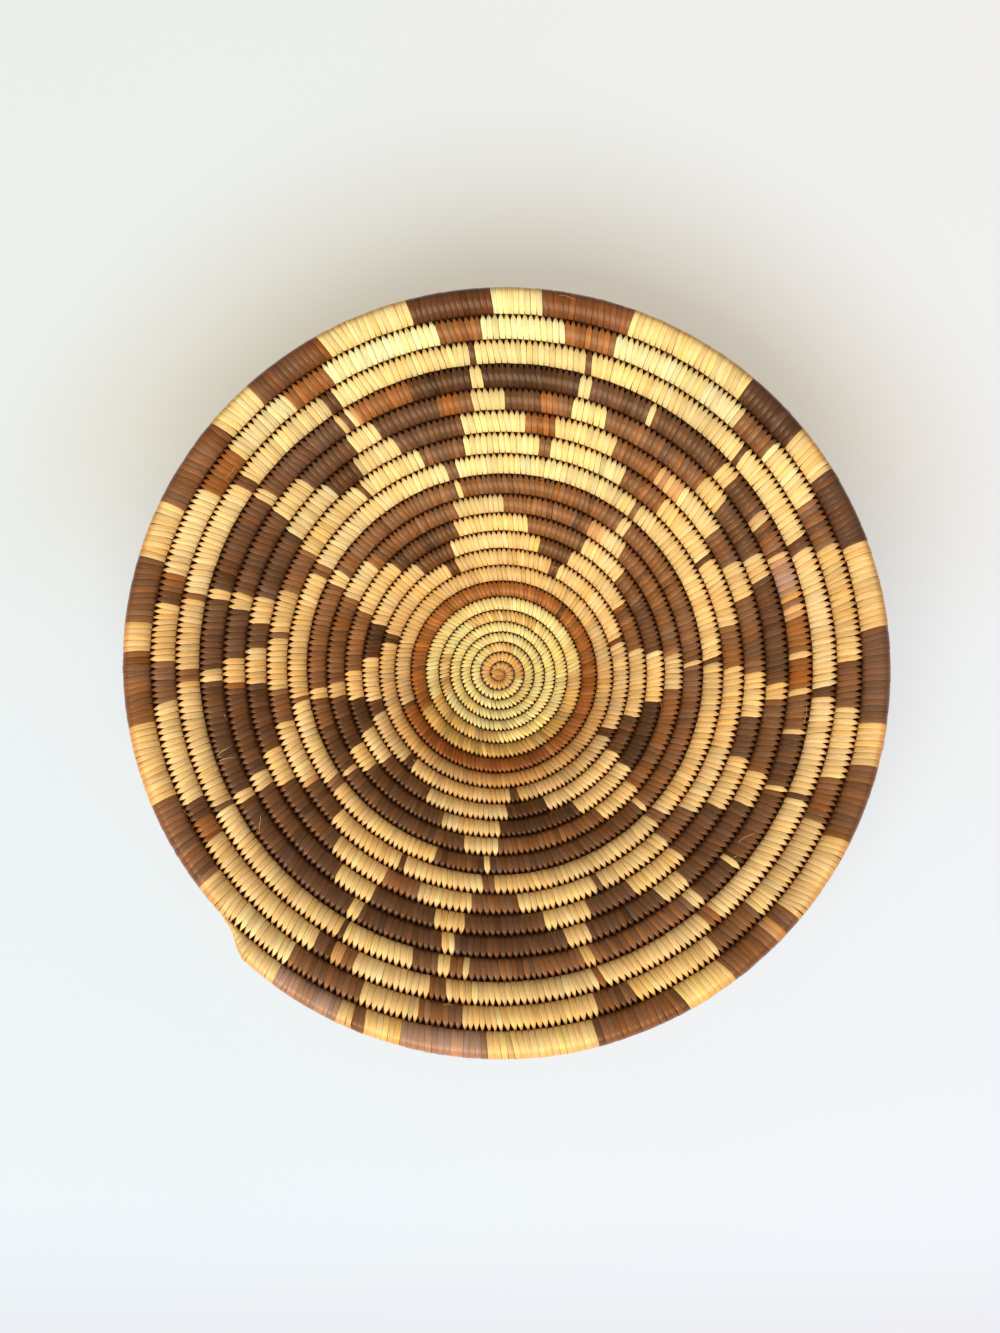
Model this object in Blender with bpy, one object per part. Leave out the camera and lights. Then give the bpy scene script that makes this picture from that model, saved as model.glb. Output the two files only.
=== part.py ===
"""A shallow coiled basket.

One bundle of grass stems is wound clockwise, seen from above, out of a start knot. Leaf strips wrap
it round by round and bind each round to the one inside it, and the bundle ends in a sewn-down tail
on the rim. Metres, +Z up. The basket stands on its flat base at z = 0, its axis at x = y = 0, and
clock angles are counted clockwise from +Y as seen from above.
"""

import math

import bmesh
import bpy
import numpy as np
from mathutils import Vector

# Driving dimensions
ROUNDS = 22
START_CLOCK = 249.0  # degrees: where the bundle leaves the start knot
TAIL_CLOCK = 228.5  # degrees: where the tail's tip lies, in the last round
CENTRE_TURNS = (0.0, 1.0, 3.0, 5.0, 7.0)
CENTRE_COILS = (0.0032, 0.0040, 0.0042, 0.0047, 0.0066)  # wrapped thickness at those turns
OUTER_COIL = 0.0113  # wrapped thickness at the tail
COIL_GROWTH = 0.92  # power of the turn by which it thickens outside the centre
WRAP_WALL = 0.0007  # leaf strips, where they lie doubled over the bundle
KNOT_RADIUS = 0.0005  # start knot at its narrowest, beside the bundle's start
KNOT_SHOULDER = 0.7  # share of the knot's height at which its crown starts
KNOT_CROWN = 0.75  # share of the knot's outline left at its top
BASE_TURNS = 6.0  # turns that lie flat
EASE_TURNS = 4.0  # turns over which the flat base rises into the wall
WALL_SLOPE = math.radians(22.0)
TAIL_SPAN = 24.0  # degrees of the last round that taper
TIP_SHARE = 0.2  # tip thickness as a share of the full coil
CORE_END = 0.3  # share of the tail's span, back from the tip, where the bundle stops

# Clearances
ROUND_GAP = 0.0006  # between neighbouring rounds
FIT_GAP = 0.0003  # bundle to wrap, and wrap end to wrap end

# Mesh counts
SIDES = 6
LOWEST_CORNER = math.pi / 3  # a six-sided section's lowest corner, below level, before the slope adds to it
STEPS_PER_TURN = 24
FINE_STEPS = 200  # steps a turn when the spiral's radius and rise are added up
TAIL_SHARES = (1.0, 0.8, 0.6, 0.45, CORE_END, 0.15, 0.05, 0.0)  # rings of the tail, back from the tip
EDGE_SAMPLES = 5  # points on each long edge when a gap is measured
SHARP_EDGE = math.radians(40.0)
SAME_PLANE = 1e-4  # section planes this share of a turn apart count as one
UP = Vector((0.0, 0.0, 1.0))

# The turn is the number of times round since the start
TURNS = ROUNDS - (START_CLOCK - TAIL_CLOCK) / 360.0
TAIL_TURNS = TAIL_SPAN / 360.0
TAIL_START = TURNS - TAIL_TURNS
FLAT_OF_RADIUS = math.cos(math.pi / SIDES)  # from the section's centre to its flat side, over its radius

# Leaf colours, linear, each with its roughness
UNDYED = ("undyed leaf", (0.72, 0.52, 0.22), 0.55)
BROWN = ("brown dyed leaf", (0.13, 0.055, 0.025), 0.45)
DARK = ("dark dyed leaf", (0.04, 0.022, 0.014), 0.42)
RED = ("red dyed leaf", (0.26, 0.09, 0.03), 0.45)
GRASS = ("grass stems", (0.36, 0.25, 0.11), 0.8)
MAIN_DYE = {8: RED, 12: DARK, 13: DARK, 14: BROWN, 17: DARK, 18: DARK, 19: DARK, 22: BROWN}


def coil_radius(turn):
    """Half the wrapped thickness of the coil, out to a corner of its section."""
    edge = CENTRE_TURNS[-1]
    if turn <= edge:
        return float(np.interp(turn, CENTRE_TURNS, CENTRE_COILS)) / 2
    growth = ((turn - edge) / (TURNS - edge)) ** COIL_GROWTH
    return (CENTRE_COILS[-1] + (OUTER_COIL - CENTRE_COILS[-1]) * growth) / 2


def slope_at(turn):
    """Angle above level at which the rounds climb: none in the base, then an eased rise to the wall's."""
    share = min(max((turn - BASE_TURNS) / EASE_TURNS, 0.0), 1.0)
    return WALL_SLOPE * share * share * (3 - 2 * share)


def spiral_table():
    """Radius and rise of the coil's centre line, added up along the slope in fine steps."""
    radius = [KNOT_RADIUS + ROUND_GAP + coil_radius(0.0)]
    rise = [0.0]
    for step in range(math.ceil((TURNS + 1 / STEPS_PER_TURN) * FINE_STEPS)):
        turn = (step + 0.5) / FINE_STEPS
        pitch = (2 * coil_radius(turn) + ROUND_GAP) / FINE_STEPS
        radius.append(radius[-1] + pitch * math.cos(slope_at(turn)))
        rise.append(rise[-1] + pitch * math.sin(slope_at(turn)))
    return radius, rise


SPIRAL_RADIUS, SPIRAL_RISE = spiral_table()
TABLE_TURNS = [step / FINE_STEPS for step in range(len(SPIRAL_RADIUS))]


def spiral_radius(turn):
    return float(np.interp(turn, TABLE_TURNS, SPIRAL_RADIUS))


def tail_share(turn):
    """How full the coil is: 1 up to the tail, then less and less towards its tip."""
    left = min(max((TURNS - turn) / TAIL_TURNS, 0.0), 1.0)
    return TIP_SHARE + (1 - TIP_SHARE) * math.sqrt(left)


def outward(clock):
    """Level unit vector at a clock angle."""
    angle = math.radians(clock)
    return Vector((math.sin(angle), math.cos(angle), 0.0))


def plane_place(step):
    """Centre, up-slope and normal directions and radius of the full coil at a shared section plane.

    The section's lowest corner lies on the rising line, so the base stands on its flats at z = 0.
    """
    turn = step / STEPS_PER_TURN
    out = outward(START_CLOCK + 360.0 * turn)
    slope = slope_at(turn)
    radius = coil_radius(turn)
    height = float(np.interp(turn, TABLE_TURNS, SPIRAL_RISE)) + radius * math.sin(LOWEST_CORNER + slope)
    along = out * math.cos(slope) + UP * math.sin(slope)
    normal = UP * math.cos(slope) - out * math.sin(slope)
    return out * spiral_radius(turn) + UP * height, along, normal, radius


def coil_place(turn):
    """The same at any turn: between two shared planes the coil runs straight, as its neighbours do."""
    step = math.floor(turn * STEPS_PER_TURN + SAME_PLANE)
    part = (turn * STEPS_PER_TURN - step) * 2 * math.pi / STEPS_PER_TURN
    if part < SAME_PLANE:
        return plane_place(step)
    rest = 2 * math.pi / STEPS_PER_TURN - part
    near = spiral_radius(step / STEPS_PER_TURN) * math.sin(part)
    far = spiral_radius((step + 1) / STEPS_PER_TURN) * math.sin(rest)
    share = near / (near + far)
    pairs = zip(plane_place(step), plane_place(step + 1))
    return [here + (there - here) * share for here, there in pairs]


def section(turn, inset=0.0):
    """Corners of the coil's section, in the upright plane through the basket's axis.

    The first corner points up the slope, so rounds meet corner to corner. The inset is measured square
    to the section's sides. The tail keeps its inner corner beside the round inside it.
    """
    centre, along, normal, full = coil_place(turn)
    here = full * tail_share(turn)
    middle = centre - along * (full - here)
    reach = here - inset / FLAT_OF_RADIUS
    angles = [2 * math.pi * side / SIDES for side in range(SIDES)]
    return [middle + reach * (along * math.cos(a) + normal * math.sin(a)) for a in angles]


def skin(bm, rings):
    """Side faces from ring to ring, and the rings' vertices."""
    rows = [[bm.verts.new(point) for point in ring] for ring in rings]
    for row, following in zip(rows, rows[1:]):
        for side in range(len(row)):
            other = (side + 1) % len(row)
            bm.faces.new((row[side], row[other], following[other], following[side]))
    return rows


def band(bm, row, other):
    """The flat ring between an outer and an inner row of vertices."""
    for side in range(len(row)):
        following = (side + 1) % len(row)
        bm.faces.new((row[side], row[following], other[following], other[side]))


def leaf_material(finish):
    """The Principled material of a leaf colour, made once."""
    name, colour, roughness = finish
    material = bpy.data.materials.get(name)
    if material is None:
        material = bpy.data.materials.new(name)
        material.use_nodes = True
        shader = material.node_tree.nodes["Principled BSDF"]
        shader.inputs["Base Color"].default_value = (*colour, 1.0)
        shader.inputs["Roughness"].default_value = roughness
        shader.inputs["Metallic"].default_value = 0.0
    return material


def add_piece(name, bm, finish, parent):
    """Closes a piece: outward normals, its material, smooth along the coil and sharp across it."""
    bmesh.ops.recalc_face_normals(bm, faces=bm.faces)
    mesh = bpy.data.meshes.new(name)
    bm.to_mesh(mesh)
    bm.free()
    mesh.shade_smooth()
    mesh.set_sharp_from_angle(angle=SHARP_EDGE)
    mesh.materials.append(leaf_material(finish))
    piece = bpy.data.objects.new(name, mesh)
    bpy.context.scene.collection.objects.link(piece)
    piece.parent = parent
    return piece


def ring_turns(first, last, extra=()):
    """Turns of a tube's rings: its ends, the shared section planes between them, and any extra ones."""
    steps = range(math.ceil(first * STEPS_PER_TURN), math.floor(last * STEPS_PER_TURN) + 1)
    kept = [first, last]
    for turn in [step / STEPS_PER_TURN for step in steps] + list(extra):
        if first < turn < last and min(abs(turn - other) for other in kept) > SAME_PLANE:
            kept.append(turn)
    return sorted(kept)


def tail_turns(until=0.0):
    """Turns of the tail's own rings, down to a share of its span back from the tip."""
    return [TURNS - share * TAIL_TURNS for share in TAIL_SHARES if share >= until]


def half_gap(turn):
    """Half the fitting gap, as a share of a turn."""
    return FIT_GAP / 2 / (2 * math.pi * spiral_radius(turn))


def foundation_turns():
    """Rings of the bundle, which ends one fitting gap short of the tail's blind bore."""
    tail = tail_turns(until=CORE_END)
    return ring_turns(0.0, tail[-1] - 2 * half_gap(tail[-1]), extra=tail)


def add_foundation(parent):
    """The bundle of grass stems: one unbroken tube from the knot to the tail."""
    bm = bmesh.new()
    rows = skin(bm, [section(turn, WRAP_WALL + FIT_GAP) for turn in foundation_turns()])
    bm.faces.new(rows[0])
    bm.faces.new(rows[-1])
    return add_piece("foundation_coil", bm, GRASS, parent)


def add_stitching(number, parent):
    """The leaf strips of one round: a sleeve round the bundle, open at both ends."""
    first = 0.0 if number == 1 else number - 1 + half_gap(number - 1)
    last = number - half_gap(number) if number < ROUNDS else TAIL_START - half_gap(TAIL_START)
    turns = ring_turns(first, last)
    bm = bmesh.new()
    outer = skin(bm, [section(turn) for turn in turns])
    bore = skin(bm, [section(turn, WRAP_WALL) for turn in turns])
    band(bm, outer[0], bore[0])
    band(bm, outer[-1], bore[-1])
    finish = MAIN_DYE.get(number, UNDYED)
    return add_piece(f"stitching_round_{number:02d}", bm, finish, parent)


def add_tail(parent):
    """The last stitches, which close over the bundle's end and taper onto the round inside."""
    first = TAIL_START + half_gap(TAIL_START)
    bm = bmesh.new()
    outer_turns = ring_turns(first, TURNS, extra=tail_turns())
    bore_turns = [turn for turn in outer_turns if turn <= TURNS - CORE_END * TAIL_TURNS]
    outer = skin(bm, [section(turn) for turn in outer_turns])
    bore = skin(bm, [section(turn, WRAP_WALL) for turn in bore_turns])
    band(bm, outer[0], bore[0])
    bm.faces.new(outer[-1])
    bm.faces.new(bore[-1])
    return add_piece("tail_wrap", bm, UNDYED, parent)


def knot_outline():
    """The start knot seen from above: it fills the first round's inside, and steps beside its start."""
    turns = ring_turns(0.0, 1.0)
    reach = [spiral_radius(turn) - coil_radius(turn) - ROUND_GAP for turn in turns]
    points = [outward(START_CLOCK + 360.0 * turn) * here for turn, here in zip(turns[:-1], reach)]
    start = outward(START_CLOCK)
    behind = outward(START_CLOCK - 90.0) * FIT_GAP
    return points + [start * reach[-1] + behind, start * reach[0] + behind]


def add_knot(parent):
    """The start knot: a crowned button as thick as the first round."""
    height = 2 * coil_radius(0.0) * FLAT_OF_RADIUS
    outline = knot_outline()
    middle = sum(outline, Vector()) / len(outline)
    levels = ((0.0, 1.0), (KNOT_SHOULDER * height, 1.0), (height, KNOT_CROWN))
    rings = [
        [middle + (point - middle) * share + UP * level for point in outline] for level, share in levels
    ]
    bm = bmesh.new()
    rows = skin(bm, rings)
    bm.faces.new(rows[0])
    bm.faces.new(rows[-1])
    return add_piece("start_knot", bm, UNDYED, parent)


def least_gap(turns, inset):
    """Least distance from a tube's long edges to the same tube at least half a turn further on."""
    rings = np.array([section(turn, inset) for turn in turns])
    points = []
    places = []
    for here, ring in enumerate(rings[:-1]):
        for sample in range(EDGE_SAMPLES):
            share = sample / EDGE_SAMPLES
            points.append(ring + (rings[here + 1] - ring) * share)
            places.append(turns[here] + (turns[here + 1] - turns[here]) * share)
    points = np.array(points)
    places = np.array(places)
    least = math.inf
    for place, ring in zip(places, points):
        others = points[(places > place + 0.5) & (places < place + 1.5)].reshape(-1, 3)
        if len(others):
            apart = np.linalg.norm(ring[:, None, :] - others[None, :, :], axis=2)
            least = min(least, float(apart.min()))
    return least


def print_gaps():
    coil = least_gap(foundation_turns(), WRAP_WALL + FIT_GAP)
    wrap = least_gap(ring_turns(0.0, TURNS, extra=tail_turns()), 0.0)
    print(f"foundation_coil: least gap to itself {coil * 1000:.2f} mm over {TURNS:.2f} turns")
    print(f"stitching: least gap between rounds {wrap * 1000:.2f} mm")


def main():
    for existing in list(bpy.data.objects):
        bpy.data.objects.remove(existing)
    basket = bpy.data.objects.new("coiled_basket", None)
    bpy.context.scene.collection.objects.link(basket)
    add_knot(basket)
    add_foundation(basket)
    for number in range(1, ROUNDS + 1):
        add_stitching(number, basket)
    add_tail(basket)
    print_gaps()


if __name__ == "__main__":
    main()
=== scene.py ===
"""The looks of a shallow coiled basket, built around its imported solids.

One bundle of grass stems runs round and round out of a start knot. Every stitch is a strip of split
leaf that wraps the bundle and dives between two stitches of the round inside it. Some strips are dyed,
and the dyed runs make the whirling stepped pattern. Metres, +Z up. Turns are counted along the coil
from the knot, and clock angles run clockwise from +Y as seen from above.
"""

import bisect
import math
import random

import bmesh
import bpy
import numpy as np
from bpy.props import FloatProperty, FloatVectorProperty, IntProperty, PointerProperty
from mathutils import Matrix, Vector


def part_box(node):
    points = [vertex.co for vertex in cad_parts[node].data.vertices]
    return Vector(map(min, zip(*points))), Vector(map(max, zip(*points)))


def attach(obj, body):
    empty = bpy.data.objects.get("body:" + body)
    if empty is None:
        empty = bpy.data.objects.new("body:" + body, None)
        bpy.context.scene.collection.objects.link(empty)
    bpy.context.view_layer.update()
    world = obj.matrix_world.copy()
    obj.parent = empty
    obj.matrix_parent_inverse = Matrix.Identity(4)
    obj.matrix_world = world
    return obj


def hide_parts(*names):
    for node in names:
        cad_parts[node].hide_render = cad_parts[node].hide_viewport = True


bl_info = {
    "name": "Coiled Basket",
    "version": (1, 0, 0),
    "blender": (4, 5, 0),
    "location": "View3D > Sidebar > Basket",
    "description": "Leaf stitches, grass bundle, start knot and stage of a coiled basket",
    "category": "Object",
}

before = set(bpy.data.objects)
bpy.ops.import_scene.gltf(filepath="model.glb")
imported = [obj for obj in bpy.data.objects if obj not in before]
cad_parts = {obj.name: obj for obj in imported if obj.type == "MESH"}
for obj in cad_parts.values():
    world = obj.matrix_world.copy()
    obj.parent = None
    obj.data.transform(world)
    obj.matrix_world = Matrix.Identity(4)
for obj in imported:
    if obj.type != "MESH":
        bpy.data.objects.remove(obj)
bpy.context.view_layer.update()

# The coil, as the solids have it
START_CLOCK = 249.0  # degrees: where the bundle leaves the start knot
TAIL_CLOCK = 226.4  # degrees: where the tail's last stitch lies
TAIL_SPAN = 24.0  # degrees of the last round that taper
SECTION_SIDES = 6
SECTION_PLANES = 24  # upright planes round the axis that hold a section of every round
PLANE_REACH = 2e-5  # how near to such a plane a corner lies
SLEEVE_WALL = 0.001  # wrap and its clearance, square to the sides of the bundle's section
ROUND_GAP = 0.0006  # between neighbouring rounds
KNOT_TOP = 0.003
ROUNDS = sum(name.startswith("stitching_round_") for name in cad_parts)
TURNS = ROUNDS - (START_CLOCK - TAIL_CLOCK) / 360.0
TAIL_TURNS = TAIL_SPAN / 360.0
TAIL_START = TURNS - TAIL_TURNS

# The tail: how much of it is left, how full the coil is there, and how far in its middle then lies
TAIL_LEFT = (0.0, 0.06, 0.10, 0.14, 0.18, 0.26, 0.6, 1.0, 1.5, 2.2)
TAIL_FULLNESS = (0.10, 0.16, 0.22, 0.34, 0.50, 0.70, 0.79, 0.86, 0.93, 1.0)
TAIL_TUCK = 1.18  # over what the coil is thinner by

# Dye chart: for each round, the runs of dyed stitches as a letter for the dye and the clock angles
# where the run starts and ends, as seen from the chart's eye. What isn't listed is undyed.
CHART_EYE = Vector((0.0, -0.137, 0.958))
# Some darker letters stand partly for painted shade: D on the foot of round 14 and on the far part of the
# rim, N on rounds 11, 12 and 19, and T and G on the lower half of rounds 6 and 7.
DYE_CHART = {
    3: "T335-392",
    6: "T249-290 T330-395 T540-575 G575-609",
    7: "T449-480 G480-605.5 R605.5-609",
    8: "R249-504.8 O504.8-508.3 R508.3-609",
    9: "D249-253.3",
    10: "D285.8-289 D333.5-338 D385-389 D432.5-436 D477.8-481.5 D531-534.3 D583.2-587.6",
    11: "D251.9-257.2 N276.2-292.5 D323-340 D376-391.2 B420.6-439.5 D469.1-484.9 N521.3-537.8"
    " D570.5-591.8 D607-609",
    12: "N249-259.2 B271.9-294 D316.5-343.4 B370.2-393.8 B410-422 D422-441.3 N461.2-487 N511-539.2"
    " D561.6-593.5 N603.7-609",
    13: "D249-262.4 B267.4-297.4 B310.8-345 B362-391.5 O391.5-396.8 B405.6-443 B455.4-489.5"
    " B504.4-540.9 D552.4-596.4 D598.4-609",
    14: "B249-262.4 B265.7-298.5 B302-346.2 B348.9-399 B401.8-446 B448.4-491.5 D494.3-542.8"
    " D545.2-558.9 B595.4-598.2",
    15: "B261.8-263.5 B297.8-301 B345.6-348.4 B398.9-400.9 D445.2-447.2 B491.2-493.3 B542-544.7"
    " D566.2-567.6 D589-599.5 O599.5-601.4",
    16: "B257.5-265.3 B278.7-280.2 B290.6-302.5 D322.6-323.6 B339.6-350.7 B370-372 B392.7-403.5"
    " D419.7-421.8 B438-448.2 D466.2-467 B485.3-494.7 D514-516.1 B535.2-547.1 B560.2-568.9"
    " D584.5-602.5",
    17: "D251.5-267.2 D275.6-282.2 D288-304.3 N317.8-325.6 D336.2-351.6 R366.2-373 B387.3-395"
    " R395-398.3 O398.3-401 O401-405.5 B416.4-424.1 B432.6-449.8 D459.4-469.4 D481.4-495.6"
    " D509-518.8 D529.8-548.3 D554.8-569.8 D579.2-603.4 D608.3-609",
    18: "D249-266.8 R266.8-268.4 D272.7-283.7 D287.7-305.8 D314.2-327.2 D332.7-347.3 R347.3-350.5"
    " B350.5-353.5 D361.1-368 R368-372 B372-375 B383-406.5 D413.3-425.6 D429.7-451.6 B455.8-471"
    " D478-498 D504.7-521.1 D525.4-549.5 D552.6-570.8 D572.8-603.5 D606-609",
    19: "D249-268.6 D271-284.2 D286.5-306.5 D308.4-327.2 D328.6-329.8 O330-331.5 R331.5-341.8"
    " N341.8-354.5 N356.6-375.5 D377.5-390 D390.8-407.3 B408.7-409 D410.3-418 O418-419.3 B421-426.6"
    " L427.8-433.5 O433.5-436 B436-437.5 O437.5-439 R439-446 R447.5-452.6 B453.8-460.4 D461.3-471.8"
    " D473.3-488.8 D490-498.3 B500.6-521.5 B523.4-546.3 B547.2-550.3 B552.1-556.5 D570.7-572"
    " B603.5-605.1",
    20: "B268.6-270.2 B284-285.2 D306-307.6 D327.2-328.8 D354.7-355.4 D375.5-376.5 D407.4-408.4"
    " D426.2-427.5 D452.5-454 D471.8-473.3 R498-500 R521.1-522.7 B550.1-552.3 B566.9-568.8"
    " O568.8-571.3 D571.3-574.4 R600.5-604 D604-607.1",
    21: "B264.7-271.8 D281.5-284 R284-286.8 R302-310.3 R322.2-330 R349.5-356.8 R371.2-379.1"
    " B403.2-410.1 B421.2-429 B448.4-455.7 B467.3-475.3 B492.7-501.9 B517-524.1 B546.2-553.7"
    " B563.9-570 B570-576.3 B595-609",
    22: "B261.6-273.2 B277.9-288.1 B297.6-311.2 B318.8-331.5 D346.2-358.4 B366.6-380.7 D400.6-411.2"
    " D418.1-430.2 B443.1-458 B463.9-476.3 B489.1-492.4 O492.4-493.6 B493.6-502.5 B511.2-525.5"
    " L542.5-555 B561.7-563.5 L566-576.4",
}
# Which dye setting each letter means
DYE_LETTERS = {
    "B": "brown", "D": "dark", "N": "black", "R": "red", "O": "orange", "L": "light_brown",
    "T": "tan", "G": "gold_and_shade",
}
PLAIN_LETTERS = (None, "O", "T", "G")  # leaf that hasn't the gloss of dyed leaf

# Leaf along the coil, in turns
HEART_TURNS = 1.62  # how long the first, warm leaf lasts
PALE_TURNS = (5.2, 7.4)  # the centre's pale leaf gives way to the outer rounds' leaf
FLAT_TURNS = (6.6, 8.0)  # the tints of places set in
WALL_TURNS = (9.5, 15.0)  # from the inner tints to the outer ones
FIRST_WIDER_TURN = 4.5  # the stitches grow wider from here
LEAN_TURNS = (1.0, 2.5, 5.0, 10.0)  # the stitches lean most between the middle two

# Strips and stitches: how they vary
STRIP_STITCHES = (9, 24)  # fewest and most stitches made with one strip
STRIP_TONE = (0.7, 0.9)  # spread and limit of a strip's tone, over the variation
STRIP_WARMTH = (0.5, 0.6)  # the same for its warmth
UNDYED_SPREAD = 0.7  # of tones within a strip, over the variation
DYED_SPREAD = 1.3
OWN_WARMTH = 0.7  # spread of warmth within a strip, over that of tones
WARM_CAST = (0.3, -0.3, -1.5)  # what warmth adds to red, green and blue
BRIGHTEST = 0.96
ROOM_LIMITS = (0.85, 1.15)  # least and most width between its neighbours, over a stitch's own
LIFT_SPREAD = 0.35  # over a strip's thickness

# Tints of the leaf at places on the basket, most of them painted light and shade: lighter and yellower on the
# far wall, which faces the lamp, and darker at the sides, on the near side, at the foot of the near wall and
# on parts of the dyed rim
FAR_PAINTED_LIGHT = (1.0, 1.06, 1.2)
FAR_INNER_PAINTED_SHADE = (0.93, 0.84, 0.88)
SIDE_PAINTED_SHADE = (0.92, 0.81, 0.88)
NEAR_PAINTED_SHADE = (0.98, 0.90, 0.98)
LIT_ROW_PAINTED_LIGHT = (1.05, 1.25, 1.5)
LIT_ROW = 20.5  # turns
LIT_ROW_REACH = 0.6
FOOT_PAINTED_SHADE = (0.60, 0.44, 0.32)
FOOT_TURN = 8.6
FOOT_REACH = 1.4
FOOT_FAR_SHARE = 0.15  # how much of it there is at the far side
OUTER_DYE_TINT = (1.0, 1.0, 1.3)
INNER_DYE_TINT = (1.0, 0.94, 0.95)
RIM_FAR_DYE_PAINTED_SHADE = (0.85, 0.68, 0.58)
RIM_RIGHT_DYE_PAINTED_SHADE = (0.79, 0.84, 1.0)

# Tints within one strip; the edge and dive tints are partly the leaf's own and partly painted shade in the
# grooves
FIBRE_GAP_TINT = (0.92, 0.88, 0.82)
FIBRE_TINT = (1.12, 1.12, 1.14)
PATCH_TINT = (0.86, 0.72, 0.55)
EDGE_STAIN_AND_SHADE = (0.40, 0.27, 0.15)
DIVE_WARMTH_AND_SHADE = (0.80, 0.56, 0.36)

# A strip's loop
STRIP_COLUMNS = 5  # points across a strip's section: four over its crown, and the first again
STRIP_RINGS = 17  # points round a strip's loop, the first again at the end
CROWN_STEPS = STRIP_COLUMNS - 2
EDGE_POWER = 0.14  # below 1, the crown's points lie nearer to its edges
EDGE_DROP_POWER = 6.0  # the higher, the nearer to its edges a strip curves down
HALF_HEIGHT = 0.87  # of a loop, over the coil's radius
SQUARENESS = 0.82  # 1 is an ellipse
BITE_POWER = 8.0  # the higher, the lower in the groove a strip dives in
FINE_COILS = (0.0020, 0.0040)  # radii from a fine coil, with shorter bites and longer teeth, to a full one
FINE_BITE = 0.5  # bite on a fine coil, over that on a full one
TOOTH_START = 0.52  # how far out a strip starts to narrow to its outer tip, over the coil's radius
FINE_TOOTH_START = 0.30  # the same on a fine coil
HEEL_REACH = (-0.85, -1.0)  # where it narrows to its inner tip
MERGE_REACH = 1e-7

# Strands of grass
STRAND_END = TURNS - 0.05 * TAIL_TURNS  # just short of the tail's tip
STRAND_FULL = 0.6  # how full the coil is where its strands start to thin towards the tail's tip
PACKING_START = 0.3  # the turn where stems pressed between two rounds begin
PACKING_DEPTH = 0.08  # how low in the groove they lie, over the coil's radius
BUNDLE_STEPS = 64  # rings a turn
STEM_GROOVE = 0.9  # radius between two stems, over the bundle's

# Start knot: lens-shaped wraps, from the top one down: ends from the axis, width, height over the crown
KNOT_WRAPS = (
    ((-0.0047, 0.0009), (0.0019, -0.0003), 0.0029, 0.0002),
    ((-0.0043, 0.0021), (0.0024, 0.0013), 0.0017, -0.0002),
    ((-0.0037, -0.0008), (0.0025, -0.0016), 0.0017, -0.0003),
    ((-0.0044, 0.0033), (0.0004, -0.0027), 0.0020, -0.0007),
    ((-0.0020, 0.0030), (0.0022, -0.0021), 0.0020, -0.0008),
)
WRAP_RISE = 0.3  # of a wrap's arch, over half the knot's height
WRAP_HEIGHT = 0.6  # of the crown over the knot's middle, over half its height
WRAP_LOWEST = 0.45  # of the lowest wrap over the knot's foot, over half its height
WRAP_UV = (0.15, 0.35)  # the part of a strip's length that a wrap shows
WRAP_TONE = 0.1  # spread of the wraps' tones
WRAP_TINT = (0.92, 0.78, 0.62)
CORE_TINT = 0.8  # of the knot's body under its wraps
CORE_HEIGHT = 0.9  # over the knot's height
LENS_STEPS = 10
LENS_COLUMNS = 7
LENS_DOME = 0.5  # height of a wrap's crown across it, over the rise of its arch

# Hairs that lie across a dark round: turn, turns along it, first angle round the coil, sweep, and lift
LONG_HAIRS = (
    (18.0303, -0.0125, 140.0, 30.0, 0.0006),
    (18.0062, 0.0030, 40.0, 100.0, 0.0012),
    (18.0032, -0.0012, 40.0, 95.0, 0.0010),
    (17.9600, 0.0060, 60.0, 50.0, 0.0008),
)
FIBRE_STEPS = 7
FIBRE_HEIGHT = 0.92  # from the coil's middle to a fibre, over the coil's radius, without its clearance
FIBRE_CLEAR = 0.00025
# Ranges of the short fibres' places and sizes
SHORT_TURNS = (7.0, TURNS - 0.5)
SHORT_LENGTHS = (0.004, 0.011)
SHORT_ANGLES = (35.0, 145.0)
SHORT_SWEEPS = (-50.0, 50.0)
SHORT_LIFTS = (0.0002, 0.0012)
SHORT_SIZE = 0.6  # radius over a long hair's

# Stage
FLOOR_HALF = 3.0
FLOOR_LEFT_TINT = (0.95, 0.99, 0.98)
FLOOR_PAINTED_SHADOW = (0.90, 0.80, 0.66)
FLOOR_FRONT_TINT = (0.93, 0.89, 0.90)
LAMP_SIZE = (1.1, 0.75)  # over its distance
LAMP_COLOUR = (1.0, 0.985, 0.96)
EVEN_LIGHT_COLOUR = (1.0, 0.955, 0.90, 1.0)

# Attribute names
LAYING_VALUES = (
    "clock", "slope", "coil", "axis_distance", "width",
    "outer_shift", "inner_shift", "tooth", "lift", "taper",
)
CLOCK, SLOPE, COIL, RADIUS, WIDTH, OUTER_SHIFT, INNER_SHIFT, TOOTH, LIFT, TAPER = LAYING_VALUES
LEAF = "leaf"
GRAIN = "grain"
GLOSS = "gloss"
ACROSS = "across"
AROUND = "around"
THICKNESS = "thickness"
UV_NAME = "UVMap"


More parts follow.
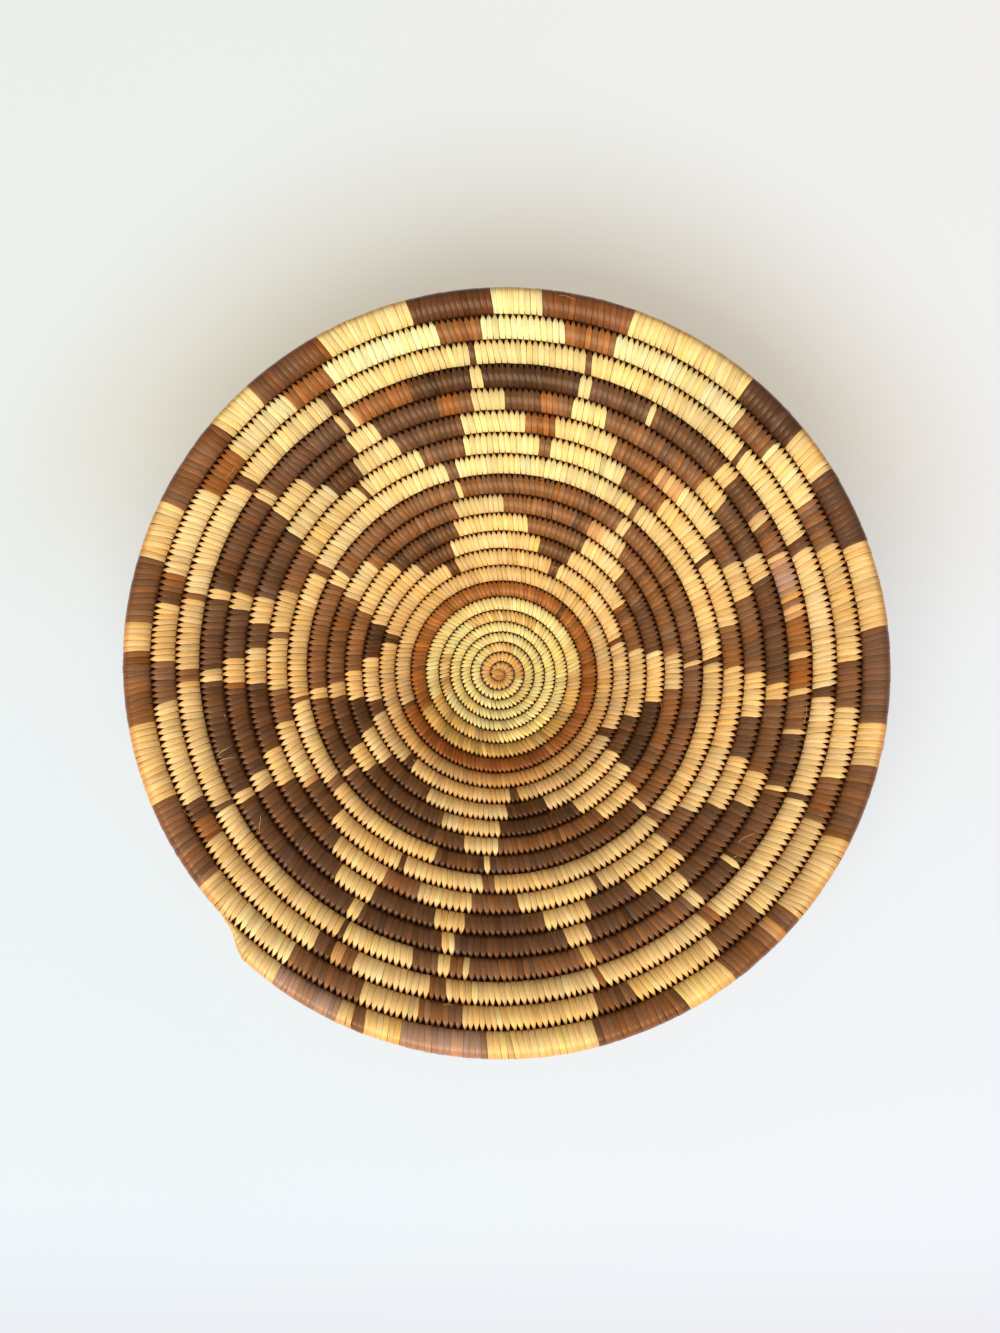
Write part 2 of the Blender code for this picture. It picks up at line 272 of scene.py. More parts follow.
class Socket:
    """A socket in a node tree, so that maths on it is written as an expression."""

    def __init__(self, tree, socket=None):
        self.tree = tree
        self.socket = socket

    def node(self, kind, settings=None, values=None, output=0):
        """Adds a node: its settings first, then a value or a link for each input, by name or number."""
        made = self.tree.nodes.new(kind)
        made.location.x = 180 * len(self.tree.nodes)
        for name, setting in (settings or {}).items():
            setattr(made, name, setting)
        for name, value in (values or {}).items():
            target = pick(made.inputs, name)
            if isinstance(value, Socket):
                self.tree.links.new(value.socket, target)
            else:
                target.default_value = value
        return Socket(self.tree, pick(made.outputs, output))

    def through(self, kind, **values):
        """Sends this geometry through a Geometry node, with a value or a link for each other input."""
        return self.node("GeometryNode" + kind, values={"Geometry": self, **values})

    def maths(self, operation, *others):
        values = dict(enumerate((self, *others)))
        return self.node("ShaderNodeMath", {"operation": operation}, values)

    def __add__(self, other):
        return self.maths("ADD", other)

    __radd__ = __add__

    def __mul__(self, other):
        return self.maths("MULTIPLY", other)

    __rmul__ = __mul__

    def __sub__(self, other):
        return self.maths("SUBTRACT", other)

    def __rsub__(self, other):
        return self * -1.0 + other

    def __truediv__(self, other):
        return self.maths("DIVIDE", other)

    def signed_power(self, power):
        """A power that keeps the number's sign."""
        return self.maths("ABSOLUTE").maths("POWER", power) * self.maths("SIGN")

    def eased(self, low, high, to_low=0.0, to_high=1.0):
        """An eased step: to_low where this is below low, to_high where it is above high."""
        values = {"Value": self, "From Min": low, "From Max": high, "To Min": to_low, "To Max": to_high}
        return self.node("ShaderNodeMapRange", {"interpolation_type": "SMOOTHSTEP"}, values)

    def xyz(self):
        """The three numbers of a vector."""
        split = self.node("ShaderNodeSeparateXYZ", values={"Vector": self})
        return [Socket(self.tree, output) for output in split.socket.node.outputs]


def pick(sockets, name):
    """The socket of that number, or the one of that name that the node's settings leave in use."""
    if isinstance(name, int):
        return [socket for socket in sockets if socket.enabled][name]
    return next(socket for socket in sockets if socket.name == name and socket.enabled)


def as_vector(root, x, y, z=0.0):
    return root.node("ShaderNodeCombineXYZ", values={"X": x, "Y": y, "Z": z})


def length_property(name, description, default, least=0.0005):
    """A length in metres."""
    return FloatProperty(
        name=name, description=description, default=default, min=least, unit="LENGTH", precision=5
    )


def ratio_property(name, description, default, least=0.0, most=1.0):
    """One size over another."""
    return FloatProperty(
        name=name, description=description, default=default, min=least, max=most, subtype="FACTOR"
    )


def angle_property(name, description, degrees):
    """An angle, whose default is given in degrees."""
    return FloatProperty(
        name=name, description=description, default=math.radians(degrees), subtype="ANGLE"
    )


def colour_property(name, description, default):
    """A linear colour."""
    return FloatVectorProperty(
        name=name, description=description, default=default, min=0.0, max=1.0, subtype="COLOR"
    )


class CoilSettings(bpy.types.PropertyGroup):
    """How the strips are cut and sewn."""

    centre_width: length_property("Strip Width at Knot", "Width of a stitch beside the start knot", 0.0018)
    rim_width: length_property("Strip Width at Rim", "Width of a stitch on the outer rounds", 0.00272)
    tail_width: length_property("Strip Width on Tail", "Width of a stitch on the tapered tail", 0.00225)
    full_turn: FloatProperty(
        name="Full Width Turn", description="Turn where stitches reach full width", default=16.0, min=5.0
    )
    thickness: ratio_property("Strip Thickness", "Thickness of a strip, over its width", 0.06, 0.02, 0.5)
    overlap: ratio_property("Overlap", "Width of a strip beyond its place, over its width", 0.06, most=0.3)
    shingle: ratio_property("Shingle", "Rise of a strip's trailing edge, over its thickness", 0.5)
    lean: angle_property("Lean", "Angle by which a stitch's outer end lies behind its inner tip", 7.0)
    centre_lean: angle_property("Lean at Centre", "The same angle, on the first rounds", 20.0)
    bite: ratio_property("Bite", "Reach of a stitch into the round inside, over the coil's radius", 0.2)
    tooth_width: ratio_property("Tooth Width", "Width of the outer tip, over the full width", 0.18, 0.05)
    heel_width: ratio_property("Heel Width", "Width of the inner tip, over the full width", 0.85, 0.05)
    unevenness: ratio_property("Unevenness", "Spread of widths and places, over the width", 0.12, most=0.4)
    seed: IntProperty(name="Seed", description="Seed of every random choice", default=21)


class DyeSettings(bpy.types.PropertyGroup):
    """Colours of the leaf strips and of the grass, linear."""

    undyed: colour_property("Undyed Leaf", "Leaf of the outer rounds", (0.92, 0.66, 0.235))
    pale: colour_property("Pale Leaf", "Greenish leaf of the flat centre", (0.80, 0.635, 0.235))
    heart: colour_property("Heart Leaf", "Leaf of the start knot and the first round", (0.66, 0.36, 0.11))
    brown: colour_property("Brown Dye", "Walnut brown leaf", (0.25, 0.105, 0.031))
    dark: colour_property("Dark Dye", "Darkest brown leaf", (0.145, 0.062, 0.020))
    black: colour_property("Black Dye", "Leaf dyed nearly black", (0.088, 0.036, 0.012))
    red: colour_property("Red Dye", "Reddish brown leaf of the ring and of some runs", (0.34, 0.12, 0.024))
    tan: colour_property("Tan Leaf", "A few warm undyed strips in the flat centre", (0.70, 0.46, 0.15))
    # Gold leaf lies only on the lower half of rounds 6 and 7; its depth is partly the leaf's own and partly
    # painted shade.
    gold_and_shade: colour_property("Gold Leaf", "Deep warm undyed strips inside the ring", (0.58, 0.36, 0.09))
    orange: colour_property("Orange Leaf", "Leaf that took the dye thinly", (0.66, 0.33, 0.088))
    light_brown: colour_property("Light Brown Dye", "Faded brown leaf on the rim", (0.50, 0.27, 0.12))
    # The grass's near-black colour is painted shade of the deep grooves where the bundle and the stems
    # between rounds are seen
    grass: colour_property("Grass", "Stems of the bundle, between the stitches", (0.03, 0.010, 0.003))
    variation: ratio_property("Variation", "Spread of the strips' tones", 0.12, most=0.5)


class BundleSettings(bpy.types.PropertyGroup):
    """The grass bundle under the stitches, and fibres that have come loose."""

    fullness: ratio_property("Fullness", "Radius of the bundle, over the wrapped coil's", 0.76, 0.3, 0.95)
    packing: ratio_property("Packing", "Radius of stems between two rounds, over the coil's", 0.37, 0.1, 0.6)
    stems: IntProperty(name="Stems", description="Stems seen round the bundle", default=9, min=3, max=16)
    fibres: IntProperty(name="Loose Fibres", description="Fine stray leaf fibres", default=22, min=0)
    fibre_radius: length_property("Fibre Radius", "Radius of a long hair", 0.0001, least=0.00002)


class StageSettings(bpy.types.PropertyGroup):
    """Floor, light and camera."""

    camera_distance: length_property("Camera Distance", "From the camera to the floor that it sees", 0.968)
    camera_tilt: angle_property("Camera Tilt", "How far the camera stands off upright, towards -Y", 8.36)
    camera_aim: length_property("Camera Aim", "How far from the axis it looks, towards +Y", 0.0036, -1.0)
    lens: FloatProperty(name="Lens", description="Focal length in millimetres", default=55.07, min=10.0)
    floor_near: colour_property("Floor Below", "Floor colour towards -Y", (0.835, 0.875, 0.93))
    floor_far: colour_property("Floor Above", "Floor colour towards +Y", (0.865, 0.865, 0.85))
    floor_glow: ratio_property("Floor Glow", "Share of the floor's colour seen unshaded", 0.6)
    lamp_power: FloatProperty(name="Lamp Power", description="Power of the soft lamp in watts", default=165.0)
    lamp_distance: length_property("Lamp Distance", "From the axis to the soft lamp", 3.6)
    lamp_height: angle_property("Lamp Elevation", "Angle of the soft lamp above the floor", 45.0)
    lamp_turn: angle_property("Lamp Turn", "Angle from -Y to the soft lamp, towards -X", 14.0)
    fill: FloatProperty(name="Fill", description="Strength of the even light from all round", default=0.42)


def coil_table():
    """Rows of turn, radius, height, coil radius and slope, read from the bundle's solid.

    The solid has a section of every round in each shared upright plane. Its outermost corner points up
    the slope. The tapered end is left out, and the full coil is carried on to the tail's tip.
    """
    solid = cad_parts["foundation_coil"].data
    points = {tuple(round(value, 6) for value in vertex.co) for vertex in solid.vertices}
    rows = []
    for plane in range(SECTION_PLANES):
        clock = math.radians(START_CLOCK + 360.0 * plane / SECTION_PLANES)
        sine, cosine = math.sin(clock), math.cos(clock)
        on_plane = [p for p in points if abs(p[0] * cosine - p[1] * sine) < PLANE_REACH]
        corners = sorted((p[0] * sine + p[1] * cosine, p[2]) for p in on_plane)
        corners = np.array([corner for corner in corners if corner[0] > 0])
        for lap in range(len(corners) // SECTION_SIDES):
            ring = corners[lap * SECTION_SIDES : (lap + 1) * SECTION_SIDES]
            middle = ring.mean(axis=0)
            reach = ring[-1] - middle
            coil = math.hypot(*reach) + SLEEVE_WALL / math.cos(math.pi / SECTION_SIDES)
            slope = math.atan2(reach[1], reach[0])
            rows.append((lap + plane / SECTION_PLANES, *middle, coil, slope))
    rows = np.array(sorted(row for row in rows if row[0] < TAIL_START))
    beyond = rows[-1] + (rows[-1] - rows[-2]) * SECTION_PLANES * 0.25  # a quarter of a turn on
    return np.vstack([rows, beyond])


COIL_TABLE = coil_table()


def tail_share(turn):
    """How full the coil is: 1, a little less on the tail, and thin where its end is sewn down."""
    return float(np.interp((TURNS - turn) / TAIL_TURNS, TAIL_LEFT, TAIL_FULLNESS))


def coil_at(turn):
    """Radius, height, coil radius and slope of the coil. The tail's inner side is tucked in a little."""
    radius, height, full, slope = (np.interp(turn, COIL_TABLE[:, 0], COIL_TABLE[:, n]) for n in range(1, 5))
    here = full * tail_share(turn)
    inward = (full - here) * TAIL_TUCK
    radius -= inward * math.cos(slope)
    height -= inward * math.sin(slope)
    return radius, height, here, slope


def place_at(turn):
    """The coil's centre point, with its radius and slope."""
    radius, height, coil, slope = coil_at(turn)
    clock = math.radians(START_CLOCK + 360.0 * turn)
    return Vector((radius * math.sin(clock), radius * math.cos(clock), height)), coil, slope


def outward(place, angle):
    """The direction away from the axis at a place, turned up by an angle."""
    level = Vector((place.x, place.y, 0.0)).normalized() * math.cos(angle)
    return Vector((level.x, level.y, math.sin(angle)))


def seen_clock(point):
    """The clock angle, in degrees, at which the chart's eye sees a point round the start knot."""
    down = -CHART_EYE.normalized()
    right = Vector((1.0, 0.0, 0.0))
    up = right.cross(down)
    spots = []
    for place in (point, Vector((0.0, 0.0, KNOT_TOP))):
        ray = place - CHART_EYE
        spots.append((ray.dot(right) / ray.dot(down), ray.dot(up) / ray.dot(down)))
    (x, y), (knot_x, knot_y) = spots
    return math.degrees(math.atan2(x - knot_x, y - knot_y))


def dye_at(number, clock):
    """The letter of the dye at a round and a seen clock angle, or None. Rounds run on into each other."""
    if clock < START_CLOCK:
        number, clock = number - 1, clock + 360.0
    elif clock >= START_CLOCK + 360.0:
        number, clock = number + 1, clock - 360.0
    for run in DYE_CHART.get(number, "").split():
        first, last = map(float, run[1:].split("-"))
        if first <= clock < last:
            return run[0]
    return None


def mix(here, there, share):
    """The colour or number that lies a share of the way from one to another."""
    return np.array(here) * (1 - share) + np.array(there) * share


def tint_and_painted_light(turn, clock, dyed):
    """Painted light and shade by place: leaf lighter and yellower on the far wall, which faces the lamp,
    peach and darker at the sides and near side, painted shade at the foot of the near wall, and dyed leaf
    bluer on the outer rounds and darker on the far and right rim.
    """
    up, aside = math.cos(clock), math.sin(clock)
    far, near, right = (max(share, 0.0) ** 2 for share in (up, -up, aside))
    wall = np.interp(turn, WALL_TURNS, (0.0, 1.0))
    if dyed:
        tint = mix(INNER_DYE_TINT, OUTER_DYE_TINT, wall)
        # painted shade on the dyed rim: darker on the far side and on the right
        if turn > ROUNDS - 1:
            tint *= 1 - far - right + far * np.array(RIM_FAR_DYE_PAINTED_SHADE) + right * np.array(RIM_RIGHT_DYE_PAINTED_SHADE)
    else:
        # painted light and shade on undyed leaf: lighter and yellower on the far wall, which faces the lamp,
        # darker and more peach at the sides and near side; it fades out towards the flat centre
        tint = far * mix(FAR_INNER_PAINTED_SHADE, FAR_PAINTED_LIGHT, wall) + near * np.array(NEAR_PAINTED_SHADE)
        tint += aside**2 * np.array(SIDE_PAINTED_SHADE)
        tint = mix(tint, 1.0, np.interp(turn, FLAT_TURNS, (1.0, 0.0)))
        # painted light: round 20 lighter and paler on the far wall, which faces the lamp
        pale = math.exp(-(((turn - LIT_ROW) / LIT_ROW_REACH) ** 4)) * far
        tint *= mix(1.0, LIT_ROW_PAINTED_LIGHT, pale)
    # painted shade at the foot of the near wall, with a little of it on the far side
    foot = math.exp(-(((turn - FOOT_TURN) / FOOT_REACH) ** 2))
    foot *= mix(FOOT_FAR_SHARE, 1.0, (0.5 - 0.5 * up) ** 2)
    return tint * mix(1.0, FOOT_PAINTED_SHADE, foot)


def undyed_colour(turn, dyes):
    """Undyed leaf: warm at the heart, pale and greenish over the flat centre, tan outside."""
    if turn < HEART_TURNS:
        return np.array(dyes.heart)
    return mix(dyes.pale, dyes.undyed, np.interp(turn, PALE_TURNS, (0.0, 1.0)))


def strip_width(turn, coil):
    """Width of a stitch: it grows out of the knot, and narrows again on the tail."""
    if turn > TAIL_START:
        return coil.tail_width
    return float(np.interp(turn, (FIRST_WIDER_TURN, coil.full_turn), (coil.centre_width, coil.rim_width)))


def outer_turns(coil, chance):
    """Turns at which the stitches' outer ends lie, one uneven width apart."""
    turn = 0.0
    turns = []
    while turn < TURNS:
        turns.append(turn)
        width = strip_width(turn, coil) * (1 + coil.unevenness * chance.uniform(-1.0, 1.0))
        turn += width / (math.tau * coil_at(turn)[0])
    return turns


def inner_turns(outer, coil, chance):
    """Turns of the inner tips. Each dives into the nearest gap between two stitches of the round inside."""
    gaps = [(here + there) / 2 + 1.0 for here, there in zip(outer, outer[1:])]
    inner = []
    for turn in outer:
        radius, _, thickness, _ = coil_at(turn)
        step = strip_width(turn, coil) / (math.tau * radius)
        lean = np.interp(turn, LEAN_TURNS, (coil.lean, coil.centre_lean, coil.centre_lean, coil.lean))
        wish = turn + 2 * thickness * math.tan(lean) / (math.tau * radius)
        wish += coil.unevenness * step * chance.uniform(-1.0, 1.0)
        if turn > 1.0:
            at = bisect.bisect(gaps, wish)
            near = gaps[max(at - 1, 0) : at + 1]
            wish = min(near, key=lambda gap: abs(gap - wish))
        inner.append(wish)
    return evened(evened(inner))


def evened(turns):
    """Turns drawn a little towards their neighbours, so that tips that share a gap spread."""
    middle = [here / 2 + (before + after) / 4 for before, here, after in zip(turns, turns[1:], turns[2:])]
    return [turns[0], *middle, turns[-1]]


def strayed(chance, spread, most):
    """A random number about 0, of a spread and within a limit."""
    return min(max(chance.gauss(0.0, spread), -most), most)


def leaf_colours(middles, dyes, chance):
    """Colour and gloss of each stitch: one tone for as long as a strip lasts, a little of its own, and the
    painted light and shade of its place.
    """
    colours = []
    glosses = []
    left = 0
    before = None
    for turn in middles:
        number = min(math.floor(turn) + 1, ROUNDS)
        place, thickness, _ = place_at(turn)
        clock = START_CLOCK + 360.0 * (turn - number + 1)
        seen = seen_clock(place + Vector((0.0, 0.0, HALF_HEIGHT * thickness)))
        clock += (seen - clock + 180.0) % 360.0 - 180.0
        dye = dye_at(number, clock)
        if dye != before or left == 0:
            left = chance.randint(*STRIP_STITCHES)
            tone = 1 + dyes.variation * strayed(chance, *STRIP_TONE)
            warmth = dyes.variation * strayed(chance, *STRIP_WARMTH)
            before = dye
        left -= 1
        base = undyed_colour(turn, dyes) if dye is None else np.array(getattr(dyes, DYE_LETTERS[dye]))
        # the painted light and shade of the stitch's place
        base = base * tint_and_painted_light(turn, math.radians(clock), dye is not None)
        spread = dyes.variation * (UNDYED_SPREAD if dye is None else DYED_SPREAD)
        own = tone * (1 + spread * chance.gauss(0.0, 1.0))
        cast = 1 + np.array(WARM_CAST) * (warmth + spread * chance.gauss(0.0, OWN_WARMTH))
        colours.append(np.clip(base * own * cast, 0.0, BRIGHTEST))
        glosses.append(0.0 if dye in PLAIN_LETTERS else 1.0)
    return colours, glosses


def lay_stitches(coil, dyes):
    """Every stitch from the knot to the tail's tip, as a list of values for each of its attributes."""
    chance = random.Random(coil.seed)
    outer = outer_turns(coil, chance)
    inner = inner_turns(outer, coil, chance)
    middles = [(there + here) / 2 for there, here in zip(outer, inner)]
    colours, glosses = leaf_colours(middles, dyes, chance)
    stitches = []
    for number, turn in enumerate(middles):
        radius, _, thickness, _ = coil_at(turn)
        place, _, slope = place_at(turn)
        full = strip_width(turn, coil)
        before, after = middles[max(number - 1, 0)], middles[min(number + 1, len(middles) - 1)]
        room = np.clip((after - before) * math.pi * radius / full, *ROOM_LIMITS)
        half = full / (4 * math.pi * radius)
        taper = (coil_at(turn + half)[2] - coil_at(turn - half)[2]) / full
        stitches.append(
            {
                "turn": turn,
                "place": place,
                CLOCK: math.radians(START_CLOCK + 360.0 * turn),
                SLOPE: slope,
                COIL: thickness,
                RADIUS: radius,
                WIDTH: room * full * (1 + coil.overlap),
                LIFT: chance.gauss(0.0, LIFT_SPREAD),
                TAPER: taper,
                OUTER_SHIFT: (outer[number] - turn) * math.tau * (radius + thickness),
                INNER_SHIFT: (inner[number] - turn) * math.tau * max(radius - thickness, 0.0),
                TOOTH: 1.0 if turn + 1 < TURNS else 0.0,
                LEAF: colours[number],
                GRAIN: chance.random(),
                GLOSS: glosses[number],
            }
        )
    return stitches


def keep_numbers(mesh, name, numbers):
    """Keeps a number at every point of a mesh."""
    mesh.attributes.new(name, "FLOAT", "POINT").data.foreach_set("value", numbers)


def station_mesh(name, stitches):
    """A point for each stitch, holding its attributes."""
    mesh = bpy.data.meshes.new(name)
    mesh.from_pydata([stitch["place"] for stitch in stitches], [], [])
    for key in (*LAYING_VALUES, GRAIN, GLOSS):
        keep_numbers(mesh, key, [stitch[key] for stitch in stitches])
    attribute = mesh.attributes.new(LEAF, "FLOAT_COLOR", "POINT")
    attribute.data.foreach_set("color", [value for stitch in stitches for value in (*stitch[LEAF], 1.0)])
    return mesh


def line_mesh(name, lines):
    """Lines of edges that hold a thickness at every point, from lists of points and thicknesses."""
    mesh = bpy.data.meshes.new(name)
    points = [point for line in lines for point, _ in line]
    starts = np.cumsum([0] + [len(line) for line in lines])
    edges = [(n, n + 1) for start, end in zip(starts, starts[1:]) for n in range(start, end - 1)]
    mesh.from_pydata(points, edges, [])
    keep_numbers(mesh, THICKNESS, [thickness for line in lines for _, thickness in line])
    return mesh


def bundle_mesh(bundle):
    """The bundle, and the stems pressed between rounds, as lines."""
    lines = []
    for first, size, reach in ((0.0, bundle.fullness, 0.0), (PACKING_START, bundle.packing, 1.0)):
        count = round((STRAND_END - first) * BUNDLE_STEPS)
        line = []
        for turn in (first + (STRAND_END - first) * step / count for step in range(count + 1)):
            place, coil, slope = place_at(turn)
            full = coil / tail_share(turn) if reach else coil
            inner = outward(place, slope) * reach * (coil + ROUND_GAP / 2)
            lower = outward(place, math.pi / 2 - slope) * reach * PACKING_DEPTH * full
            line.append((place - inner - lower, full * size * min(tail_share(turn) / STRAND_FULL, 1.0)))
        lines.append(line)
    return line_mesh("foundation_bundle", lines)


def fibre_mesh(bundle, seed):
    """Stray fibres as short lines lying over the stitches, most of them along a round."""
    chance = random.Random(seed)
    hairs = [(*hair, 1.0) for hair in LONG_HAIRS]
    for _ in range(bundle.fibres):
        turn = chance.uniform(*SHORT_TURNS)
        span = chance.uniform(*SHORT_LENGTHS) / (math.tau * coil_at(turn)[0]) * chance.choice((-1, 1))
        angle = chance.uniform(*SHORT_ANGLES)
        sweep = chance.uniform(*SHORT_SWEEPS)
        hairs.append((turn, span, angle, sweep, chance.uniform(*SHORT_LIFTS), SHORT_SIZE))
    lines = []
    for turn, span, first_angle, sweep, lift, size in hairs:
        line = []
        for share in (step / FIBRE_STEPS for step in range(FIBRE_STEPS + 1)):
            place, coil, slope = place_at(turn + span * share)
            angle = math.radians(first_angle + sweep * share)
            above = coil * FIBRE_HEIGHT + FIBRE_CLEAR + lift * math.sin(math.pi * share) ** 2
            line.append((place + outward(place, angle + slope) * above, size * bundle.fibre_radius))
        lines.append(line)
    return line_mesh("loose_fibres", lines)


def new_tree(name, inputs):
    """A Geometry Nodes tree: a Socket to build from, and a Socket for each of its named inputs."""
    tree = bpy.data.node_groups.new(name, "GeometryNodeTree")
    tree.interface.new_socket("Geometry", in_out="INPUT", socket_type="NodeSocketGeometry")
    tree.interface.new_socket("Geometry", in_out="OUTPUT", socket_type="NodeSocketGeometry")
    for label, kind in inputs.items():
        tree.interface.new_socket(label, in_out="INPUT", socket_type="NodeSocket" + kind)
    group = tree.nodes.new("NodeGroupInput")
    return Socket(tree), {socket.name: Socket(tree, socket) for socket in group.outputs if socket.name}


def end_tree(geometry, material):
    """Realizes what the tree made, gives it its material, and returns the tree."""
    tree = geometry.tree
    done = geometry.through("RealizeInstances").through("SetMaterial", Material=material)
    out = tree.nodes.new("NodeGroupOutput")
    out.location.x = 180 * len(tree.nodes)
    tree.links.new(done.socket, out.inputs["Geometry"])
    return tree


def attribute_field(root, name):
    return root.node("GeometryNodeInputNamedAttribute", {"data_type": "FLOAT"}, {"Name": name})


def stored(geometry, name, value, kind="FLOAT", domain="POINT"):
    """The geometry with a value kept under a name."""
    settings = {"data_type": kind, "domain": domain}
    values = {"Geometry": geometry, "Name": name, "Value": value}
    return geometry.node("GeometryNodeStoreNamedAttribute", settings, values)


def stitch_tree():
    """The tree that wraps one strip of leaf round the coil at every station.

    The flat grid's columns run across the strip and its rows along the loop. Turned into a loop, the
    strip goes up over the coil from its outer tip, down into the round inside, and back underneath.
    """
    inputs = ("Thickness", "Shingle", "Bite", "Round Gap", "Tooth Width", "Heel Width")
    root, given = new_tree("Wrapped stitches", {**dict.fromkeys(inputs, "Float"), "Material": "Material"})
    across_size = float(STRIP_COLUMNS - 1)
    around_size = float(STRIP_RINGS - 1)
    size = {"Size X": across_size, "Size Y": around_size}
    counts = {"Vertices X": STRIP_COLUMNS, "Vertices Y": STRIP_RINGS}
    grid = root.node("GeometryNodeMeshGrid", values={**size, **counts})
    flat_x, flat_y, _ = root.node("GeometryNodeInputPosition").xyz()
    column = flat_x + across_size / 2
    row = (flat_y + around_size / 2) / around_size
    crown = column.maths("MINIMUM", float(CROWN_STEPS)) * (2.0 / CROWN_STEPS) - 1.0
    side = crown.signed_power(EDGE_POWER)
    closing = column.maths("GREATER_THAN", CROWN_STEPS + 0.5)
    grid = stored(grid, ACROSS, side - closing * 2.0)
    grid = stored(grid, AROUND, row)
    grid = stored(grid, UV_NAME, as_vector(root, side * 0.5 + 0.5, row), "FLOAT2", "CORNER")
    stations = {"Points": given["Geometry"], "Instance": grid, "Scale": (0.0, 0.0, 0.0)}
    strips = root.node("GeometryNodeInstanceOnPoints", values=stations).through("RealizeInstances")

    fields = (attribute_field(root, key) for key in LAYING_VALUES)
    clock, slope, coil, radius, full_width, outer, inner, tooth, lift, taper = fields
    side = attribute_field(root, ACROSS)
    angle = attribute_field(root, AROUND) * math.tau
    outness = angle.maths("COSINE").signed_power(SQUARENESS)
    upness = angle.maths("SINE").signed_power(SQUARENESS)
    drop = side.maths("ABSOLUTE").maths("POWER", EDGE_DROP_POWER)
    body = full_width * given["Thickness"] * (lift + side * given["Shingle"] * 0.5 - drop)
    dive = (outness * -1.0).maths("MAXIMUM", 0.0).maths("POWER", BITE_POWER)
    bite = coil * coil.eased(*FINE_COILS, FINE_BITE, 1.0) * given["Bite"]
    cone = taper * side * full_width * 0.5
    along = (coil + body) * outness + cone * (outness + TAIL_TUCK) - (bite + given["Round Gap"]) * dive
    over = ((coil + cone) * HALF_HEIGHT + body) * upness
    start = coil.eased(*FINE_COILS, FINE_TOOTH_START, TOOTH_START)
    narrowing = (outness - start).maths("MAXIMUM", 0.0) / (1.0 - start)
    narrowing = narrowing * tooth * (1.0 - given["Tooth Width"])
    heel = outness.eased(*HEEL_REACH) * (1.0 - given["Heel Width"])
    fan = 1.0 + along / radius
    width = full_width * fan * (1.0 - narrowing - heel)
    shift = inner + (outer - inner) * (outness + 1.0) * 0.5
    aside = side * width * 0.5 + shift
    level = along * slope.maths("COSINE") - over * slope.maths("SINE")
    floor = root.node("GeometryNodeInputPosition").xyz()[2] * -1.0
    height = (along * slope.maths("SINE") + over * slope.maths("COSINE")).maths("MAXIMUM", floor)
    sine, cosine = clock.maths("SINE"), clock.maths("COSINE")
    offset = as_vector(root, level * sine + aside * cosine, level * cosine - aside * sine, height)
    strips = strips.through("SetPosition", Offset=offset).through("MergeByDistance", Distance=MERGE_REACH)
    return end_tree(strips.through("SetShadeSmooth"), given["Material"])


def tubes(given, profile):
    """The tree's lines as closed tubes with a profile, as thick as the lines say."""
    line = profile.node("GeometryNodeMeshToCurve", values={"Mesh": given["Geometry"]})
    thickness = attribute_field(profile, THICKNESS)
    tube = {"Curve": line, "Profile Curve": profile, "Scale": thickness, "Fill Caps": True}
    return profile.node("GeometryNodeCurveToMesh", values=tube)


def bundle_tree():
    """The tree that lays grass stems along a line, as one ribbed bundle closed at both ends."""
    root, given = new_tree("Grass bundle", {"Stems": "Int", "Groove": "Float", "Material": "Material"})
    star = {"Points": given["Stems"], "Inner Radius": given["Groove"], "Outer Radius": 1.0}
    bundle = tubes(given, root.node("GeometryNodeCurveStar", values=star))
    return end_tree(bundle.through("SetShadeSmooth"), given["Material"])


def fibre_tree():
    """The tree that gives every stray line the thickness of a fibre."""
    root, given = new_tree("Loose fibres", {"Material": "Material"})
    ring = root.node("GeometryNodeCurvePrimitiveCircle", values={"Resolution": 4, "Radius": 1.0})
    return end_tree(tubes(given, ring), given["Material"])


def add_object(name, data):
    """A new object in the scene."""
    made = bpy.data.objects.new(name, data)
    bpy.context.scene.collection.objects.link(made)
    return made


def plain_mesh(name, mesh, tree, inputs, body="root"):
    """Runs a tree on a mesh and keeps the result as a plain piece that rides on a body."""
    source = add_object(name, mesh)
    modifier = source.modifiers.new("Wrap", "NODES")
    modifier.node_group = tree
    for item in tree.interface.items_tree:
        if item.in_out == "INPUT" and item.name in inputs:
            modifier[item.identifier] = inputs[item.name]
    graph = bpy.context.evaluated_depsgraph_get()
    result = bpy.data.meshes.new_from_object(source.evaluated_get(graph), depsgraph=graph)
    bpy.data.objects.remove(source)
    for key in (*LAYING_VALUES, ACROSS, AROUND, THICKNESS):
        if key in result.attributes:
            result.attributes.remove(result.attributes[key])
    piece = add_object(name, result)
    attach(piece, body)
    return piece


def lens_strip(bm, layers, start, end, width, rise, colour, grain):
    """A lens-shaped strip of leaf from start to end: domed across, arched along, closed underneath."""
    start, end = Vector(start), Vector(end)
    along = end - start
    across = along.cross(Vector((0.0, 0.0, 1.0))).normalized()
    rows = []
    uvs = {}
    for share in (step / LENS_STEPS for step in range(LENS_STEPS + 1)):
        swell = math.sin(math.pi * share)
        half = width / 2 * max(swell, 0.02) ** 0.7
        middle = start + along * share + Vector((0.0, 0.0, rise * swell))
        places = []
        for side in (2 * column / (LENS_COLUMNS - 1) - 1 for column in range(LENS_COLUMNS)):
            dome = Vector((0.0, 0.0, LENS_DOME * rise * (1 - side * side)))
            places.append(middle + across * half * side + dome)
        places.append(middle - Vector((0.0, 0.0, rise)))
        row = [bm.verts.new(place) for place in places]
        for column, vertex in enumerate(row):
            uvs[vertex] = (min(column / (LENS_COLUMNS - 1), 1.0), mix(*WRAP_UV, share))
            vertex[layers[LEAF]] = (*colour, 1.0)
            vertex[layers[GRAIN]] = grain
        rows.append(row)
    for row, following in zip(rows, rows[1:]):
        for column in range(len(row)):
            face = bm.faces.new((row[column - 1], row[column], following[column], following[column - 1]))
            for loop in face.loops:
                loop[layers[UV_NAME]].uv = uvs[loop.vert]
    for row in (rows[0], rows[-1]):
        bm.faces.new(row)


